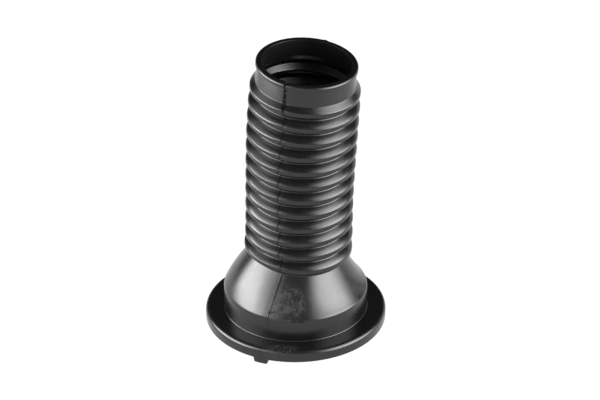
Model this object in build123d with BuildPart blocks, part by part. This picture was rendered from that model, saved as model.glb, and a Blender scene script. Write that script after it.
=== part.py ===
"""Rubber bellows boot: collar, twelve folds, cone and spring-seat flange, moulded in one piece.

Millimetres. The Z axis is the flange's own axis and +Z points at the collar. Z = 0 is the foot
of the locating tab, so the flange's seat lies one tab drop above it. -Y is the front. The flange,
the skirt and the cone stand upright, and the folds and the collar lean a few degrees.
"""
from build123d import *
from math import cos, radians, sin
import os

# What the boot fits: a damper's body through it, a coil spring round its skirt
body_radius = 24.5
spring_bore_radius = 41.2
spring_wire = 10.8

# Flange: the ring between the spring and its pan
flange_thickness = 7.0
flange_top_bevel = 1.3
flange_bottom_bevel = 0.8

# Skirt: the short upright wall that centres the spring's first coil
skirt_height = 13.7
skirt_wall = 3.0

# Cone and folds
cone_height = 22.4
fold_count = 12
fold_pitch = 9.25
fold_depth = 4.1
fold_wall = 1.7
fold_clearance = 0.3
crest_land = 2.1

# Collar, stretched over the damper's body
collar_foot_rise = 2.0
collar_foot_wall = 3.1
collar_height = 10.1
collar_neck_wall = 2.3
collar_bore_length = 9.9
lip_height = 2.8
lip_wall = 3.4
lip_top_bevel = 0.9
lip_bore_bevel = 0.6

# Lean of the folds and the collar in the relaxed boot
lean_angle = 4.3
lean_azimuth = -50.0

# Locating tab under the flange's edge
tab_width = 9.0
tab_drop = 2.5
tab_depth = 3.2
tab_draft = 0.7
tab_corner_round = 0.7
tab_azimuth = -112.8

# How far shapes that are joined run into each other
overlap = 2.0

# Radii that follow from what the boot fits and from its walls
skirt_radius = spring_bore_radius
skirt_bore_radius = skirt_radius - skirt_wall
flange_radius = skirt_radius + spring_wire
root_radius = body_radius + fold_clearance + fold_wall
crest_radius = root_radius + fold_depth
collar_foot_radius = body_radius + collar_foot_wall
collar_recess_radius = collar_foot_radius - fold_wall
collar_neck_radius = body_radius + collar_neck_wall
lip_radius = body_radius + lip_wall

# Heights up the boot's own axis, from the tab's foot
seat_z = tab_drop
flange_top_z = seat_z + flange_thickness
shoulder_z = flange_top_z + skirt_height
first_root_z = shoulder_z + cone_height
last_crest_z = first_root_z + (fold_count - 0.5) * fold_pitch
last_land_z = last_crest_z + crest_land / 2
collar_foot_z = last_land_z + collar_foot_rise
lip_bottom_z = collar_foot_z + collar_height
lip_top_z = lip_bottom_z + lip_height
bore_end_z = lip_top_z - collar_bore_length


def fold_points(crest, root, land=0.0):
    """Section of the folds as (radius, height), each crest a flat land or, without one, an edge."""
    points = []
    for fold in range(fold_count):
        root_z = first_root_z + fold * fold_pitch
        crest_z = root_z + fold_pitch / 2
        points.append((root, root_z))
        points.append((crest, crest_z - land / 2))
        if land:
            points.append((crest, crest_z + land / 2))
    return points


def run_on(start, end):
    """The point one overlap beyond `end` on the line from `start`."""
    beyond = Vector(*end) + (Vector(*end) - Vector(*start)).normalized() * overlap
    return (beyond.X, beyond.Y)


# The folds lean about the centre of the ball that touches the cone round the first root,
# so the first root stays on the cone's surface whatever the lean is.
lean_pivot_z = first_root_z - root_radius * (skirt_radius - root_radius) / cone_height
lean_pivot = Vector(0, 0, lean_pivot_z)
lean_towards = Vector(cos(radians(lean_azimuth)), sin(radians(lean_azimuth)), 0)
lean_across = Vector(0, 0, 1).cross(lean_towards)
lean_direction = lean_towards * sin(radians(lean_angle)) + Vector(0, 0, cos(radians(lean_angle)))
lean_foot = lean_pivot - lean_direction * lean_pivot_z
lean_axis = Axis(lean_foot, lean_direction)
lean_plane = Plane(origin=lean_foot, x_dir=lean_across, z_dir=lean_across.cross(lean_direction))

# Sections as (radius, height). The cone runs on past its first root, and so does the first
# fold, so that the valley between them is where their two surfaces meet.
folds_outside = fold_points(crest_radius, root_radius, crest_land)
folds_inside = fold_points(crest_radius - fold_wall, root_radius - fold_wall)
upright_outside = [
    (flange_radius, seat_z),
    (flange_radius, flange_top_z),
    (skirt_radius, flange_top_z),
    (skirt_radius, shoulder_z),
    run_on((skirt_radius, shoulder_z), folds_outside[0]),
]
upright_inside = [
    (skirt_bore_radius, seat_z - overlap),
    (skirt_bore_radius, shoulder_z),
    run_on((skirt_bore_radius, shoulder_z), folds_inside[0]),
]
leaning_outside = [
    run_on(folds_outside[1], folds_outside[0]),
    *folds_outside[1:],
    (collar_foot_radius, collar_foot_z),
    (collar_neck_radius, lip_bottom_z),
    (lip_radius, lip_bottom_z),
    (lip_radius, lip_top_z),
]
leaning_inside = [
    run_on(folds_inside[1], folds_inside[0]),
    *folds_inside[1:],
    (collar_recess_radius, collar_foot_z),
    (body_radius, bore_end_z),
    (body_radius, lip_top_z + overlap),
]


def turned(points, plane, axis):
    """Solid made by turning the section between `points` and the axis."""
    with BuildPart() as solid:
        with BuildSketch(plane):
            with BuildLine():
                Polyline((0, points[0][1]), *points, (0, points[-1][1]), close=True)
            make_face()
        revolve(axis=axis)
    return solid.part


# The tab: a drafted block under the flange's edge, cut by the flange's own outer radius
outward = Vector(cos(radians(tab_azimuth)), sin(radians(tab_azimuth)), 0)
along_rim = Vector(-outward.Y, outward.X, 0)
tab_plane = Plane(origin=(0, 0, seat_z), x_dir=along_rim, z_dir=outward)

with BuildPart() as tab:
    with BuildSketch(tab_plane) as tab_outline:
        with BuildLine():
            Polyline(
                (-tab_width / 2, overlap),
                (-tab_width / 2, 0),
                (-tab_width / 2 + tab_draft, -tab_drop),
                (tab_width / 2 - tab_draft, -tab_drop),
                (tab_width / 2, 0),
                (tab_width / 2, overlap),
                close=True,
            )
        make_face()
        foot_corners = tab_outline.vertices().group_by(Axis.Y)[0]
        fillet(foot_corners, tab_corner_round)
    extrude(amount=flange_radius + tab_depth)
    with BuildSketch():
        Circle(flange_radius)
        Circle(flange_radius - tab_depth, mode=Mode.SUBTRACT)
    extrude(amount=seat_z + overlap, mode=Mode.INTERSECT)

upright_form = turned(upright_outside, Plane.XZ, Axis.Z)
upright_hollow = turned(upright_inside, Plane.XZ, Axis.Z)
leaning_form = turned(leaning_outside, lean_plane, lean_axis)
leaning_hollow = turned(leaning_inside, lean_plane, lean_axis)

# The boot: its outer form, less the hollow through it
with BuildPart() as bellows_boot:
    add(upright_form)

    def end_rims(order):
        return bellows_boot.edges().filter_by(GeomType.CIRCLE).group_by(order)[-1]

    chamfer(end_rims(SortBy.RADIUS).sort_by(Axis.Z)[0], flange_bottom_bevel)
    chamfer(end_rims(SortBy.RADIUS).sort_by(Axis.Z)[-1], flange_top_bevel)
    add(tab.part)
    add(leaning_form)
    add(upright_hollow, mode=Mode.SUBTRACT)
    add(leaning_hollow, mode=Mode.SUBTRACT)
    chamfer(end_rims(lean_axis).sort_by(SortBy.RADIUS)[0], lip_bore_bevel)
    chamfer(end_rims(lean_axis).sort_by(SortBy.RADIUS)[-1], lip_top_bevel)

bellows_boot.part.label = "bellows_boot"
os.makedirs("parts", exist_ok=True)
export_step(bellows_boot.part, "parts/bellows_boot.step")
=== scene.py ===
"""Looks of the rubber bellows boot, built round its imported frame.

The mesh is worked out in millimetres and turned to metres as it is made. The lamps, the floor and
the camera are in metres. All of it is in the frame's own axes.
"""

from collections import namedtuple
import math

import bpy
import numpy as np
from mathutils import Matrix, Vector, noise


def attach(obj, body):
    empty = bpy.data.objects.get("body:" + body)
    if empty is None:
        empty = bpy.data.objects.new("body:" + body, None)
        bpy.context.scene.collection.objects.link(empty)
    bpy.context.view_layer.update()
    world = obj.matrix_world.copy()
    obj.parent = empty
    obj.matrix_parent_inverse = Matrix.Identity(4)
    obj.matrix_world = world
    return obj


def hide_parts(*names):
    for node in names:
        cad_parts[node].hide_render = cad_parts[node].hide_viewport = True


MM = 0.001
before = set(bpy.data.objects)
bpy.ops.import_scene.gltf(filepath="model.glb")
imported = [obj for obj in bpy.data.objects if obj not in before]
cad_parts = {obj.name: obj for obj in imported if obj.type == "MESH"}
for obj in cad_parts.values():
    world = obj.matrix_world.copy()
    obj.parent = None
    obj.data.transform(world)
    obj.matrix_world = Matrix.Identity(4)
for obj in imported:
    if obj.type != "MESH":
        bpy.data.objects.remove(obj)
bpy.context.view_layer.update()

# The moulding's section, as the solid has it
SEAT = 2.5
FLANGE_TOP = 9.5
FLANGE_RADIUS = 52.0
FLANGE_FOOT_ROUND = 0.8
SKIRT_RADIUS = 41.2
SKIRT_BORE = 38.2
SHOULDER = 23.2
FIRST_ROOT = 45.6
FOLDS = 12
PITCH = 9.25
CREST_RADIUS = 30.6
ROOT_RADIUS = 26.5
LAND = 2.1
FOLD_WALL = 1.7
COLLAR_FOOT = 155.0
COLLAR_FOOT_RADIUS = 27.6
BORE_END = 158.0
BORE_RADIUS = 24.5
NECK_RADIUS = 26.8
LIP_BOTTOM = 165.1
LIP_TOP = 167.9
LIP_RADIUS = 27.9

# Where the mesh departs from that section. The collar's outer foot stands higher. The crests are
# widest at one fold, counted from the top, and narrowest so many folds further down, and the top
# one is cut back. Each outer flank is bulged above its crest and hollowed below it, up to the
# part of the last fold that is left plain.
FOOT_RISE = 0.9
CREST_SWELL = 0.22
WIDEST_CREST = 4
CRESTS_TO_NARROWEST = 5
TOP_CREST_CUT = 0.25
FLANK_BULGE = 0.5
FLANK_HOLLOW = 0.3
PLAIN_TOP = 0.4

# The tab, at its azimuth in degrees from +X. Its sides run straight for a share of its drop, and
# from there the corners of its foot fade out. Its back is almost upright.
TAB_AZIMUTH = -112.8
TAB_WIDTH = 9.0
TAB_DEPTH = 3.2
TAB_DRAFT = 0.7
TAB_STRAIGHT = 0.8
TAB_CORNER_FADE = 0.4
TAB_BACK_SLANT = 0.05

# How the boot leans: (height, towards +X, towards -Y) of its centre line
SPINE = (
    (22.5, 0.0, 0.0),
    (52.5, 1.85, 0.99),
    (87.5, 2.64, 3.17),
    (122.5, 4.05, 5.35),
    (167.5, 7.05, 8.40),
)

# Parting lines, one in front at the tab's azimuth and one behind: how far the flash stands out,
# where less than nothing is a groove, which starts this far below the collar's foot, how wide
# the flash is, how near it comes to the flange's top, and how far the left half of the mould
# sits above the right, growing over this height from the flange up
SKIRT_FLASH = 0.05
CONE_FLASH = 0.14
FOLD_FLASH = 0.16
COLLAR_FLASH = -0.38
GROOVE_START = 1.5
FLASH_WIDTH = 0.30
FLASH_GAP = 0.6
MOULD_STEP = 0.12
MOULD_STEP_GROWTH = 6.0

# How ragged the flash is: the waves per millimetre of two noises and the finer one's share, then
# the mean, the gain and the least and greatest part of the flash that they leave. Both lines
# wander sideways, too.
COARSE_WAVES = 0.9
FINE_WAVES = 2.6
FINE_SHARE = 0.6
RAGGED_MEAN = 0.75
RAGGED_GAIN = 1.1
RAGGED_LIMITS = (0.15, 1.6)
WANDER = 0.10
WANDER_WAVES = 0.35

# The parting lines as the rubber shows them: their width, how dark they are by height, where more
# than 1 is dark right across, and how far the front one strays sideways by height, together with
# the columns beside it, out to a reach in radians
SEAM_WIDTH = 0.75
SEAM_DEPTHS = (
    (FLANGE_TOP, 0.15),
    (SHOULDER, 0.35),
    (SHOULDER + 3, 0.6),
    (COLLAR_FOOT - 4, 0.6),
    (COLLAR_FOOT, 2.2),
)
SEAM_DRIFT = (
    (9.5, 0.2), (23.2, 0.1), (30, 0.7), (40, 1.3), (51, 1.4), (60, 0.0),
    (79, -0.8), (97, -1.1), (116, -1.2), (134, -0.7), (152, -0.4), (158, -1.1),
)
SEAM_DRIFT_REACH = 0.35

# Where the parting lines cross the lip: (rise, width) of the notch in front and of the nub behind,
# and how far down from the lip's top they reach
LIP_NOTCH = (-0.75, 0.55)
LIP_NUB = (0.5, 1.0)
LIP_REACH = 1.6

# How much painted shade the inside has by height, as lost shine: all of it but the flank below the
# collar
INNER_SHADE_HEIGHTS = ((147.0, 1.0), (148.5, 0.0), (151.5, 0.0), (155.5, 1.0))

# Painted shade on one side of the inside, as lost shine: its middle, its reach and its fade in
# degrees, and how strong it is
SIDE_SHADE_AZIMUTH = 20.0
SIDE_SHADE_REACH = 92.0
SIDE_SHADE_FADE = 28.0
SIDE_SHADE_STRENGTH = 1.6

# Handling marks, as (x, y, z): stains on the cone and the flange, smudges on the cone and the
# skirt, and a scratch on the cone, which is square to SCRATCH_ACROSS
STAIN_MAIN = (-4.0, -36.0, 32.0)
STAIN_SIDE = (-11.0, -36.0, 28.0)
STAIN_FLANGE = (-9.0, -48.0, 9.5)
SMUDGES = (
    (-1.0, -41.2, 22.8),
    (3.0, -41.1, 22.6),
    (-12.1, -37.1, 26.5),
    (-14.1, -36.6, 26.2),
    (0.6, -34.7, 33.1),
)
SCRATCH = (-23.4, -23.2, 35.3)
SCRATCH_ACROSS = (-0.027, -0.666, -0.745)

# Columns round the boot: how many even ones, where the finer ones are, in degrees beside the
# parting lines and in millimetres in from the tab's sides, and how far past those no even one is
COLUMNS = 112
SEAM_OFFSETS = (0.0, 0.2, 0.4, 0.65, 0.95, 1.3, 1.8, 2.5)
TAB_INSETS = (0.0, 0.35, 0.6, 0.85, 1.3)
FINE_MARGIN = 0.6

# Rows: the longest step between them, by height outside and everywhere inside, the longest turn
# on an arc, the least turn that is rounded, and how much of a side its two ends' arcs may take
ROW_STEPS = ((COLLAR_FOOT, 0.5), (FIRST_ROOT, 1.4), (SHOULDER, 1.3), (0.0, 2.5))
INNER_STEP = 6.0
ARC_STEP = math.radians(16)
LEAST_TURN = math.radians(2)
ARC_SHARE = 0.45

# Margins against rounding errors, for the tab's rows and sides and for the parting plane
ROW_MARGIN = 0.05
SIDE_MARGIN = 1e-6
PLANE_MARGIN = 1e-4

# Colours of clean rubber and of the marks, and how much of the marks' colour each mark has
RUBBER_COLOUR = (0.0030, 0.0030, 0.0031)
MARK_COLOUR = (0.060, 0.060, 0.062)
STAIN_COLOUR = 0.34
SCRATCH_COLOUR = 0.5
FLANGE_STAIN = 0.5

# Roughness of clean rubber, and what is added to it
ROUGHNESS = 0.212
MOTTLE_ROUGHNESS = 0.05
STREAK_ROUGHNESS = 0.05
STAIN_ROUGHNESS = 0.08
INNER_ROUGHNESS = 0.10

# Specular level of clean rubber, what a parting line takes from it, and the share of it that is
# left by a stain, by a smudge and by the inside's painted shade at its deepest
SPECULAR = 0.5
SEAM_SPECULAR = 0.48
STAIN_SPECULAR = 0.72
SMUDGE_SPECULAR = 0.35
INNER_SHADE_SPECULAR = 0.2
DEEPEST_INNER_SHADE = 2.0

# The rubber's index of refraction, and its relief, with the fine grain's share of it
IOR = 1.5
RELIEF_STRENGTH = 0.22
RELIEF_DEPTH = 0.00003
GRAIN_SHARE = 0.5

# Lamps: name, azimuth in degrees from the front and positive to the right, height of the centre,
# distance from the axis, inner and outer size as (width, height), and radiance at the middle
LAMPS = (
    ("left", -84, 0.15, 0.36, (0.22, 0.10), (0.50, 0.22), 16.5),
    ("left_front", -54, 0.22, 0.36, (0.06, 0.10), (0.44, 0.36), 5.0),
    ("left_haze", -90, 0.44, 0.70, (0.20, 0.30), (1.10, 0.90), 2.4),
    ("right_low", 69, 0.20, 0.60, (0.20, 0.24), (1.05, 0.50), 11.0),
    ("right_high", 68, 0.46, 0.60, (0.20, 0.26), (0.90, 0.68), 8.2),
    ("right_back", 128, 0.20, 1.20, (0.60, 0.10), (1.00, 0.30), 1.2),
    ("front", -8, 0.26, 1.40, (1.20, 0.24), (1.90, 0.80), 1.45),
    ("front_high", -8, 0.90, 1.20, (0.80, 0.40), (1.80, 1.10), 0.35),
    ("overhead", 0, 3.00, 0.40, (1.60, 1.60), (2.40, 2.40), 0.3),
)
LAMP_LAYERS = 7
LAYER_GAP = 0.01
LAMPS_AIM = (0, 0, 0.09)
STUDIO_LEVEL = 0.04

# Floor: its width, the grey of its paint, and the white that the camera and reflections see
FLOOR_SIZE = 8
FLOOR_GREY = 0.06
FLOOR_WHITE = 1.0

# Camera, with its focal length and its shift in pixels of a picture of this width
PICTURE_WIDTH = 600
FOCAL_PIXELS = 2135.5
SHIFT_PIXELS = (5.07, -7.40)
SENSOR_WIDTH = 36
CAMERA_TARGET = (0, 0, 0.0825)
CAMERA_DISTANCE = 1.2
CAMERA_ELEVATION = math.radians(29.351)
CAMERA_ROLL = math.radians(-0.408)

# A corner of the section, with the radius that rounds it
Corner = namedtuple("Corner", "radius height rounding")


def rounded(corners):
    """Closed outline through the corners, with an arc at each rounded one."""
    points = []
    for index, corner in enumerate(corners):
        here = Vector(corner[:2])
        before = Vector(corners[index - 1][:2]) - here
        after = Vector(corners[(index + 1) % len(corners)][:2]) - here
        turn = math.pi - before.angle(after)
        if corner.rounding == 0 or turn < LEAST_TURN:
            points.append(here)
            continue
        tangent = corner.rounding * math.tan(turn / 2)
        tangent = min(tangent, ARC_SHARE * before.length, ARC_SHARE * after.length)
        start = here + before.normalized() * tangent
        end = here + after.normalized() * tangent
        inward = (before.normalized() + after.normalized()).normalized()
        arc_radius = tangent / math.tan(turn / 2)
        centre = here + inward * (arc_radius / math.cos(turn / 2))
        steps = max(2, math.ceil(turn / ARC_STEP))
        for k in range(steps + 1):
            spoke = (start - centre).slerp(end - centre, k / steps).normalized()
            points.append(centre + spoke * arc_radius)
    return points


def fold_corners(crest, root, lower_round, upper_round, root_round):
    """Corners of the folds from the first root up to the last land."""
    corners = []
    for fold in range(FOLDS):
        root_z = FIRST_ROOT + fold * PITCH
        crest_z = root_z + PITCH / 2
        number = FOLDS - fold
        swell = CREST_SWELL * math.cos(math.pi * (number - WIDEST_CREST) / CRESTS_TO_NARROWEST)
        if number == 1:
            swell -= TOP_CREST_CUT
        corners.append(Corner(root, root_z, root_round))
        corners.append(Corner(crest + swell, crest_z - LAND / 2, lower_round))
        corners.append(Corner(crest + swell, crest_z + LAND / 2, upper_round))
    return corners


def stepped(points):
    """The outline with its long runs divided, most finely on the collar's outside."""
    divided = []
    top = max(range(len(points)), key=lambda index: points[index].y)
    for index, here in enumerate(points):
        following = points[(index + 1) % len(points)]
        middle = (here.y + following.y) / 2
        longest = next(step for height, step in ROW_STEPS if middle >= height)
        if index > top:
            longest = INNER_STEP
        steps = max(1, math.ceil((following - here).length / longest))
        divided += [here.lerp(following, k / steps) for k in range(steps)]
    return divided


def outline():
    """The moulding's section: up the outside, over the lip, down the inside and back."""
    outside = [
        Corner(FLANGE_RADIUS, SEAT, rounding=FLANGE_FOOT_ROUND),
        Corner(FLANGE_RADIUS, FLANGE_TOP, rounding=2.4),
        Corner(SKIRT_RADIUS, FLANGE_TOP, rounding=0.55),
        Corner(SKIRT_RADIUS, SHOULDER, rounding=3.0),
        *fold_corners(CREST_RADIUS, ROOT_RADIUS, lower_round=0.40, upper_round=1.1, root_round=0.6),
        Corner(COLLAR_FOOT_RADIUS, COLLAR_FOOT + FOOT_RISE, rounding=0.5),
        Corner(NECK_RADIUS, LIP_BOTTOM, rounding=0.5),
        Corner(LIP_RADIUS, LIP_BOTTOM, rounding=0.5),
        Corner(LIP_RADIUS, LIP_TOP, rounding=1.7),
    ]
    inner_crest = CREST_RADIUS - FOLD_WALL
    inner_root = ROOT_RADIUS - FOLD_WALL
    inside = [
        Corner(SKIRT_BORE, SEAT, rounding=0.6),
        Corner(SKIRT_BORE, SHOULDER, rounding=2.0),
        *fold_corners(inner_crest, inner_root, lower_round=0.8, upper_round=0.3, root_round=2.0),
        Corner(COLLAR_FOOT_RADIUS - FOLD_WALL, COLLAR_FOOT, rounding=1.0),
        Corner(BORE_RADIUS, BORE_END, rounding=0.4),
        Corner(BORE_RADIUS, LIP_TOP, rounding=0.3),
    ]
    # Two rows on the seat, of which the second goes down with the tab and so makes its back
    tab_back = FLANGE_RADIUS - TAB_DEPTH
    back_rows = [Vector((tab_back, SEAT)), Vector((tab_back + TAB_BACK_SLANT, SEAT))]
    return stepped(rounded(outside + inside[::-1])) + back_rows


def azimuths():
    """Column angles round the boot, finer beside the parting lines and at the tab's sides."""
    seams = (math.radians(TAB_AZIMUTH), math.radians(TAB_AZIMUTH + 180))
    tab_sides = [TAB_WIDTH / 2 - inset for inset in TAB_INSETS]
    offsets = [*SEAM_OFFSETS, *(math.degrees(side / FLANGE_RADIUS) for side in tab_sides)]
    fine = [
        seam + math.radians(side * offset)
        for seam in seams
        for offset in offsets
        for side in (-1, 1)
    ]
    reach = math.radians(max(offsets) + FINE_MARGIN)

    def near_seam(angle):
        return any(abs(math.remainder(angle - seam, math.tau)) < reach for seam in seams)

    even = [k * math.tau / COLUMNS for k in range(COLUMNS)]
    angles = [angle for angle in even if not near_seam(angle)] + fine
    return np.array(sorted({round(angle % math.tau, 7) for angle in angles}))


def turns_from(azimuth, angles):
    """How far each angle is turned from an azimuth in degrees, between -pi and pi."""
    return np.array([math.remainder(angle - math.radians(azimuth), math.tau) for angle in angles])


def by_height(heights, table):
    """The table's value at each height."""
    return np.interp(heights, *zip(*table))


def ridge(distance, width):
    """Rounded ridge of height 1, at each distance from its middle."""
    return np.exp(-(distance / width) ** 2)


def hermite(at, knots, values):
    """Place and slope of the smooth curve through the knots, which starts level."""
    slopes = np.gradient(values, knots)
    slopes[0] = 0.0
    spans = np.clip(np.searchsorted(knots, at) - 1, 0, len(knots) - 2)
    width = knots[spans + 1] - knots[spans]
    t = np.clip((at - knots[spans]) / width, 0.0, None)
    rise = values[spans + 1] - values[spans]
    start = slopes[spans] * width
    end = slopes[spans + 1] * width
    square = 3 * rise - 2 * start - end
    cube = start + end - 2 * rise
    place = values[spans] + start * t + square * t**2 + cube * t**3
    slope = (start + 2 * square * t + 3 * cube * t**2) / width
    return place, slope


def lean(points):
    """Bends straight points along the spine, with each section square to it."""
    heights, right, front = (np.array(column) for column in zip(*SPINE))
    x, y, z = points.T
    shift_x, slope_x = hermite(z, heights, right)
    shift_y, slope_y = hermite(z, heights, -front)
    return np.stack([x + shift_x, y + shift_y, z - slope_x * x - slope_y * y], axis=1)


def shape_flanks(radius, section_z, outside):
    """Bulges each fold's outer flank above its crest and hollows it below."""
    flank_height = (PITCH - LAND) / 2
    along_fold = (section_z - FIRST_ROOT) / PITCH % 1.0
    above = np.clip(((along_fold - 0.5) * PITCH - LAND / 2) / flank_height, 0.0, 1.0)
    below = np.clip(along_fold * PITCH / flank_height, 0.0, 1.0)
    top = FIRST_ROOT + (FOLDS - PLAIN_TOP) * PITCH
    on_folds = outside & (section_z > FIRST_ROOT) & (section_z < top)
    radius += np.where(on_folds, FLANK_BULGE * 4 * above * (1 - above), 0.0)[None, :]
    radius -= np.where(on_folds, FLANK_HOLLOW * 4 * below * (1 - below), 0.0)[None, :]


def flash(heights):
    """How far a parting line stands out of the outside at each height."""
    size = np.full(heights.shape, SKIRT_FLASH)
    size = np.where(heights > SHOULDER, CONE_FLASH, size)
    size = np.where(heights > FIRST_ROOT, FOLD_FLASH, size)
    size = np.where(heights > COLLAR_FOOT - GROOVE_START, COLLAR_FLASH, size)
    size = np.where(np.abs(heights - FLANGE_TOP) > FLASH_GAP, size, 0.0)
    # The fixed coordinates here, and those of the wander, only keep the noises apart
    ragged = np.array([
        noise.noise(Vector((0.0, 7.0, z * COARSE_WAVES)))
        + FINE_SHARE * noise.noise(Vector((3.0, 0.0, z * FINE_WAVES)))
        for z in heights
    ])
    return size * np.clip(RAGGED_MEAN + RAGGED_GAIN * ragged, *RAGGED_LIMITS)


def add_parting_lines(angles, radius, height, section_r, section_z, outside):
    """Shapes both parting lines and the mould's step, and says how dark each point is."""
    seam = np.zeros(radius.shape)
    flashes = flash(section_z) * outside
    depths = by_height(section_z, SEAM_DEPTHS) * outside
    on_lip = np.clip((section_z - LIP_TOP + LIP_REACH) / LIP_REACH, 0.0, 1.0)
    wander = np.array([
        WANDER * noise.noise(Vector((11.0, z * WANDER_WAVES, 0.0))) for z in section_z
    ])
    for azimuth, (rise, width) in ((TAB_AZIMUTH, LIP_NOTCH), (TAB_AZIMUTH + 180, LIP_NUB)):
        across = turns_from(azimuth, angles)[:, None] * section_r[None, :] - wander[None, :]
        radius += ridge(across, FLASH_WIDTH) * flashes[None, :]
        seam = np.maximum(seam, np.minimum(1.0, ridge(across, SEAM_WIDTH) * depths[None, :]))
        height += rise * ridge(across, width) * on_lip[None, :]
    # The columns on the parting plane itself stay with the right half
    left_half = np.sin(angles - math.radians(TAB_AZIMUTH)) < -PLANE_MARGIN
    growth = np.clip((section_z - FLANGE_TOP) / MOULD_STEP_GROWTH, 0.0, 1.0) * outside
    height += MOULD_STEP * left_half[:, None] * growth[None, :]
    return seam


def add_tab(angles, radius, height, section_r, section_z):
    """Pulls the flange's lower edge down into the tab, on the columns that cross it."""
    side = TAB_WIDTH / 2 - np.abs(turns_from(TAB_AZIMUTH, angles) * FLANGE_RADIUS)
    depth = np.clip(side / TAB_DRAFT, 0.0, None)
    corner = (1 - TAB_STRAIGHT) * np.exp(-(depth - TAB_STRAIGHT) / TAB_CORNER_FADE)
    drop = SEAT * np.where(depth < TAB_STRAIGHT, depth, 1 - corner)
    drop = np.where(side < -SIDE_MARGIN, 0.0, np.clip(drop, 0.0, SEAT))
    reach = FLANGE_FOOT_ROUND + ROW_MARGIN
    pulled = (section_r > FLANGE_RADIUS - reach) & (section_z < SEAT + reach)
    outer = pulled.copy()
    pulled[-1] = True
    for row in np.flatnonzero(pulled):
        r = radius[0, row]
        z = height[0, row]
        off_edge = 1 - np.clip((z - SEAT) / FLANGE_FOOT_ROUND, 0.0, 1.0)
        radius[:, row] = np.where(drop > 0, FLANGE_RADIUS if outer[row] else r, r)
        height[:, row] = z - (drop + np.where(drop > 0, z - SEAT, 0.0)) * off_edge


def inner_painted_shade(angles, section_z, outside):
    """Painted shade on the inside at each point, as lost shine: by height all round, and more on
    one side.
    """
    height_shade = by_height(section_z, INNER_SHADE_HEIGHTS) * ~outside
    # More painted shade, as lost shine, on one side of the inside
    aside = np.degrees(np.abs(turns_from(SIDE_SHADE_AZIMUTH, angles)))
    side_shade = np.clip((SIDE_SHADE_REACH - aside) / SIDE_SHADE_FADE, 0.0, 1.0)
    side_shade = side_shade**2 * (3 - 2 * side_shade)
    return np.maximum(height_shade[None, :], SIDE_SHADE_STRENGTH * side_shade[:, None] * ~outside[None, :])


def drifted(angles, section_r, section_z):
    """Each point's azimuth, with the columns beside the front parting line straying with it."""
    drift = by_height(section_z, SEAM_DRIFT) / section_r
    beside = ridge(turns_from(TAB_AZIMUTH, angles), SEAM_DRIFT_REACH)
    return angles[:, None] + beside[:, None] * drift[None, :]


def build_boot():
    """The whole moulding as one closed mesh, a grid of columns round it and rows along it."""
    section = outline()
    angles = azimuths()
    columns = len(angles)
    rows = len(section)
    section_r = np.array([point.x for point in section])
    section_z = np.array([point.y for point in section])
    outside = np.arange(rows) < np.argmax(section_z)
    radius = np.tile(section_r, (columns, 1))
    height = np.tile(section_z, (columns, 1))
    shape_flanks(radius, section_z, outside)
    seam = add_parting_lines(angles, radius, height, section_r, section_z, outside)
    add_tab(angles, radius, height, section_r, section_z)
    # The inside's painted shade, as lost shine, kept on each point
    inner = inner_painted_shade(angles, section_z, outside)

    placed = drifted(angles, section_r, section_z)
    straight = [radius * np.cos(placed), radius * np.sin(placed), height]
    points = lean(np.stack([places.ravel() for places in straight], axis=1)) * MM
    column, row = np.meshgrid(np.arange(columns), np.arange(rows), indexing="ij")
    beside = (column + 1) % columns
    above = (row + 1) % rows
    corners = ((column, row), (beside, row), (beside, above), (column, above))
    quads = np.stack([at_column * rows + at_row for at_column, at_row in corners], axis=2)

    data = bpy.data.meshes.new("bellows_boot_skin")
    data.from_pydata(points.tolist(), [], quads.reshape(-1, 4).tolist())
    data.polygons.foreach_set("use_smooth", np.ones(len(data.polygons), dtype=bool))
    for name, values in (("seam", seam), ("inner", inner)):
        data.attributes.new(name, "FLOAT", "POINT").data.foreach_set("value", values.ravel())
    data.update()
    boot = bpy.data.objects.new("bellows_boot_skin", data)
    bpy.context.collection.objects.link(boot)
    boot.modifiers.new("even_shading", "WEIGHTED_NORMAL").keep_sharp = False
    return boot


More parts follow.
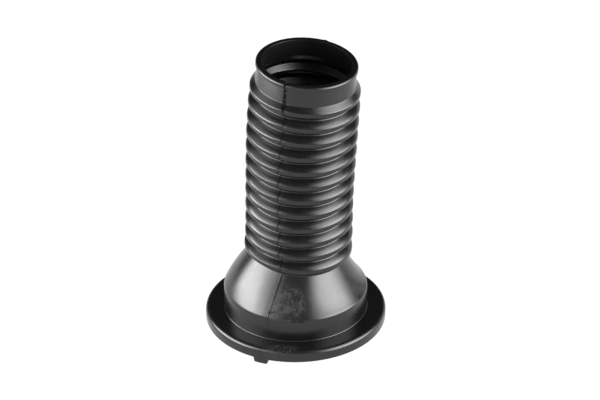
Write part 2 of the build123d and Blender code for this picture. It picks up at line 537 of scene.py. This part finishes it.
class Graph:
    """Short hand for wiring a material's nodes."""

    def __init__(self, name):
        self.material = bpy.data.materials.new(name)
        self.material.use_nodes = True
        self.tree = self.material.node_tree
        self.shader = self.tree.nodes["Principled BSDF"]
        self.place = self.tree.nodes.new("ShaderNodeTexCoord").outputs["Object"]

    def feed(self, socket, value):
        """Links the socket to another one, or sets it to a number."""
        if isinstance(value, bpy.types.NodeSocket):
            self.tree.links.new(value, socket)
        else:
            socket.default_value = value

    def math(self, operation, first, second=0.0, clamp=False):
        node = self.tree.nodes.new("ShaderNodeMath")
        node.operation = operation
        node.use_clamp = clamp
        self.feed(node.inputs[0], first)
        self.feed(node.inputs[1], second)
        return node.outputs[0]

    def add(self, first, second, share, clamp=False):
        """The first plus a share of the second."""
        return self.math("ADD", first, self.math("MULTIPLY", second, share), clamp)

    def spread(self, value, low, high, to_low=0.0, to_high=1.0):
        """The value, with its range from low to high mapped smoothly to another."""
        node = self.tree.nodes.new("ShaderNodeMapRange")
        node.interpolation_type = "SMOOTHSTEP"
        for socket, number in zip(node.inputs, (value, low, high, to_low, to_high)):
            self.feed(socket, number)
        return node.outputs[0]

    def noise(self, scale, detail, stretch=(1.0, 1.0, 1.0)):
        mapping = self.tree.nodes.new("ShaderNodeMapping")
        mapping.inputs["Scale"].default_value = stretch
        self.tree.links.new(self.place, mapping.inputs["Vector"])
        node = self.tree.nodes.new("ShaderNodeTexNoise")
        node.inputs["Scale"].default_value = scale
        node.inputs["Detail"].default_value = detail
        self.tree.links.new(mapping.outputs[0], node.inputs["Vector"])
        return node.outputs[0]

    def attribute(self, name):
        node = self.tree.nodes.new("ShaderNodeAttribute")
        node.attribute_name = name
        return node.outputs["Fac"]

    def vector(self, operation, first, second=(0.0, 0.0, 0.0), output="Vector"):
        node = self.tree.nodes.new("ShaderNodeVectorMath")
        node.operation = operation
        self.tree.links.new(first, node.inputs[0])
        node.inputs[1].default_value = second
        return node.outputs[output]

    def offset(self, centre):
        """Where the surface is, seen from a point given in millimetres."""
        return self.vector("SUBTRACT", self.place, [c * MM for c in centre])

    def near(self, centre, reach, soft, squeeze=(1.0, 1.0, 1.0)):
        """1 within `reach` of a point, in millimetres, fading to 0 over `soft` more."""
        squeezed = self.vector("MULTIPLY", self.offset(centre), squeeze)
        length = self.vector("LENGTH", squeezed, output="Value")
        return self.spread(length, reach * MM, (reach + soft) * MM, to_low=1.0, to_high=0.0)

    def line(self, centre, across, reach, soft, width):
        """1 on the line through a point that is square to `across`, out to `reach`."""
        aside = self.vector("DOT_PRODUCT", self.offset(centre), across, output="Value")
        aside = self.math("ABSOLUTE", aside)
        thin = self.spread(aside, 0.0, width * MM, to_low=1.0, to_high=0.0)
        return self.math("MULTIPLY", thin, self.near(centre, reach, soft))

    def colours(self, share, first, second):
        node = self.tree.nodes.new("ShaderNodeMix")
        node.data_type = "RGBA"
        # Inputs 6 and 7 and output 2 are the ones for colours
        self.feed(node.inputs[0], share)
        node.inputs[6].default_value = (*first, 1)
        node.inputs[7].default_value = (*second, 1)
        return node.outputs[2]


def rubber():
    """Black moulding rubber: satin, finely grained, dull in the seams, with handling marks, and
    painted shade inside.
    """
    g = Graph("black_rubber")
    seam = g.attribute("seam")
    # The inside's painted shade, which takes shine away and adds roughness
    inner = g.attribute("inner")

    # Stains by the front parting line and on the flange, broken up by two sizes of noise, with
    # chalky specks in them
    main = g.near(STAIN_MAIN, reach=6.0, soft=6.0)
    side = g.near(STAIN_SIDE, reach=3.5, soft=4.0)
    flange = g.near(STAIN_FLANGE, reach=4.0, soft=4.0, squeeze=(0.6, 1.6, 1.0))
    patch = g.math("MAXIMUM", main, side)
    patch = g.math("MAXIMUM", patch, g.math("MULTIPLY", flange, FLANGE_STAIN))
    blotch = g.spread(g.noise(scale=420.0, detail=5.0), low=0.44, high=0.60)
    fleck = g.spread(g.noise(scale=1300.0, detail=4.0), low=0.50, high=0.66)
    stain = g.math("MULTIPLY", patch, g.math("MAXIMUM", blotch, fleck), clamp=True)
    chalk = g.spread(g.noise(scale=1700.0, detail=2.0), low=0.60, high=0.68)
    speck = g.math("MULTIPLY", patch, chalk)

    # Small dull smudges and one scratch
    smudge = 0.0
    for place in SMUDGES:
        spot = g.near(place, reach=0.3, soft=1.3, squeeze=(0.5, 1.0, 1.6))
        smudge = g.math("MAXIMUM", smudge, spot)
    scratch = g.line(SCRATCH, SCRATCH_ACROSS, reach=4.5, soft=1.0, width=0.30)

    # A faint dust all over, in streaks that run up the boot, and the moulding's own grain
    dusty = g.noise(scale=260.0, detail=4.0, stretch=(1.0, 1.0, 0.25))
    streak = g.spread(dusty, low=0.42, high=0.75)
    grain = g.noise(scale=2600.0, detail=2.0)
    mottle = g.noise(scale=700.0, detail=4.0)

    marked = g.add(speck, stain, STAIN_COLOUR)
    marked = g.add(marked, scratch, SCRATCH_COLOUR, clamp=True)
    g.feed(g.shader.inputs["Base Color"], g.colours(marked, RUBBER_COLOUR, MARK_COLOUR))

    rough = g.add(ROUGHNESS, mottle, MOTTLE_ROUGHNESS)
    rough = g.add(rough, streak, STREAK_ROUGHNESS)
    rough = g.add(rough, stain, STAIN_ROUGHNESS)
    rough = g.add(rough, inner, INNER_ROUGHNESS)
    g.feed(g.shader.inputs["Roughness"], rough)

    broken = g.spread(g.noise(scale=900.0, detail=3.0), low=0.30, high=0.55, to_low=0.45)
    shine = g.add(SPECULAR, g.math("MULTIPLY", seam, broken), -SEAM_SPECULAR)
    # Stains and smudges dull the shine, and the inside loses shine as painted shade
    for dirt_and_shade, deepest, left in (
        (stain, 1.0, STAIN_SPECULAR),
        (smudge, 1.0, SMUDGE_SPECULAR),
        (inner, DEEPEST_INNER_SHADE, INNER_SHADE_SPECULAR),
    ):
        kept = g.spread(dirt_and_shade, low=0.0, high=deepest, to_low=1.0, to_high=left)
        shine = g.math("MULTIPLY", shine, kept)
    g.feed(g.shader.inputs["Specular IOR Level"], shine)
    g.shader.inputs["IOR"].default_value = IOR

    bump = g.tree.nodes.new("ShaderNodeBump")
    bump.inputs["Strength"].default_value = RELIEF_STRENGTH
    bump.inputs["Distance"].default_value = RELIEF_DEPTH
    g.feed(bump.inputs["Height"], g.add(mottle, grain, GRAIN_SHARE))
    g.feed(g.shader.inputs["Normal"], bump.outputs[0])
    return g.material


def build_floor():
    """A floor that the camera and reflections see as plain white, and all else as dark grey."""
    bpy.ops.mesh.primitive_plane_add(size=FLOOR_SIZE, location=(0, 0, 0))
    floor = bpy.context.object
    floor.name = "floor"
    material = bpy.data.materials.new("pale_floor")
    material.use_nodes = True
    nodes = material.node_tree.nodes
    links = material.node_tree.links
    nodes.clear()
    output = nodes.new("ShaderNodeOutputMaterial")
    paint = nodes.new("ShaderNodeBsdfDiffuse")
    paint.inputs["Color"].default_value = (FLOOR_GREY, FLOOR_GREY, FLOOR_GREY, 1)
    glow = nodes.new("ShaderNodeEmission")
    glow.inputs["Strength"].default_value = FLOOR_WHITE
    both = nodes.new("ShaderNodeAddShader")
    path = nodes.new("ShaderNodeLightPath")
    seen = path.outputs["Is Camera Ray"]
    for ray in ("Is Glossy Ray", "Is Transmission Ray"):
        either = nodes.new("ShaderNodeMath")
        either.operation = "MAXIMUM"
        links.new(seen, either.inputs[0])
        links.new(path.outputs[ray], either.inputs[1])
        seen = either.outputs[0]
    choose = nodes.new("ShaderNodeMixShader")
    links.new(seen, choose.inputs[0])
    links.new(paint.outputs[0], both.inputs[0])
    links.new(glow.outputs[0], both.inputs[1])
    links.new(paint.outputs[0], choose.inputs[1])
    links.new(both.outputs[0], choose.inputs[2])
    links.new(choose.outputs[0], output.inputs["Surface"])
    floor.data.materials.append(material)


def softbox(name, azimuth, centre, distance, inner, outer, radiance):
    """Rectangular lamp in layers, which fades from its inner size to its outer one."""
    turn = math.radians(azimuth)
    place = Vector((math.sin(turn) * distance, -math.cos(turn) * distance, centre))
    outward = place - Vector(LAMPS_AIM)
    for layer in range(LAMP_LAYERS):
        share = layer / (LAMP_LAYERS - 1)
        lamp = bpy.data.lights.new(f"{name}_{layer}", "AREA")
        lamp.shape = "RECTANGLE"
        lamp.size = inner[0] + (outer[0] - inner[0]) * share
        lamp.size_y = inner[1] + (outer[1] - inner[1]) * share
        lamp.energy = radiance / LAMP_LAYERS * math.pi * lamp.size * lamp.size_y
        holder = bpy.data.objects.new(lamp.name, lamp)
        holder.location = place + outward * LAYER_GAP * layer
        holder.rotation_euler = outward.to_track_quat("Z", "Y").to_euler()
        bpy.context.collection.objects.link(holder)


def build_lights():
    """The lamps, and a dim studio round them that the camera sees as white."""
    for lamp in LAMPS:
        softbox(*lamp)
    world = bpy.data.worlds.new("studio")
    world.use_nodes = True
    nodes = world.node_tree.nodes
    links = world.node_tree.links
    plain = nodes["Background"]
    plain.inputs["Color"].default_value = (STUDIO_LEVEL, STUDIO_LEVEL, STUDIO_LEVEL, 1)
    white = nodes.new("ShaderNodeBackground")
    white.inputs["Color"].default_value = (1, 1, 1, 1)
    path = nodes.new("ShaderNodeLightPath")
    choose = nodes.new("ShaderNodeMixShader")
    links.new(path.outputs["Is Camera Ray"], choose.inputs[0])
    links.new(plain.outputs[0], choose.inputs[1])
    links.new(white.outputs[0], choose.inputs[2])
    links.new(choose.outputs[0], nodes["World Output"].inputs["Surface"])
    bpy.context.scene.world = world


def build_camera():
    rise = math.sin(CAMERA_ELEVATION)
    run = math.cos(CAMERA_ELEVATION)
    back = Vector((0, -run, rise))
    level_up = Vector((0, rise, run))
    right = Vector((1, 0, 0)) * math.cos(CAMERA_ROLL) + level_up * math.sin(CAMERA_ROLL)
    up = back.cross(right)
    lens = bpy.data.cameras.new("camera")
    lens.sensor_width = SENSOR_WIDTH
    lens.lens = SENSOR_WIDTH * FOCAL_PIXELS / PICTURE_WIDTH
    lens.shift_x = SHIFT_PIXELS[0] / PICTURE_WIDTH
    lens.shift_y = SHIFT_PIXELS[1] / PICTURE_WIDTH
    camera = bpy.data.objects.new("camera", lens)
    place = Matrix.Translation(Vector(CAMERA_TARGET) + back * CAMERA_DISTANCE)
    camera.matrix_world = place @ Matrix((right, up, back)).transposed().to_4x4()
    bpy.context.collection.objects.link(camera)
    bpy.context.scene.camera = camera


boot = build_boot()
boot.data.materials.append(rubber())
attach(boot, "root")
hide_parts("bellows_boot")
build_floor()
build_lights()
build_camera()
bpy.context.scene.view_settings.view_transform = "Standard"
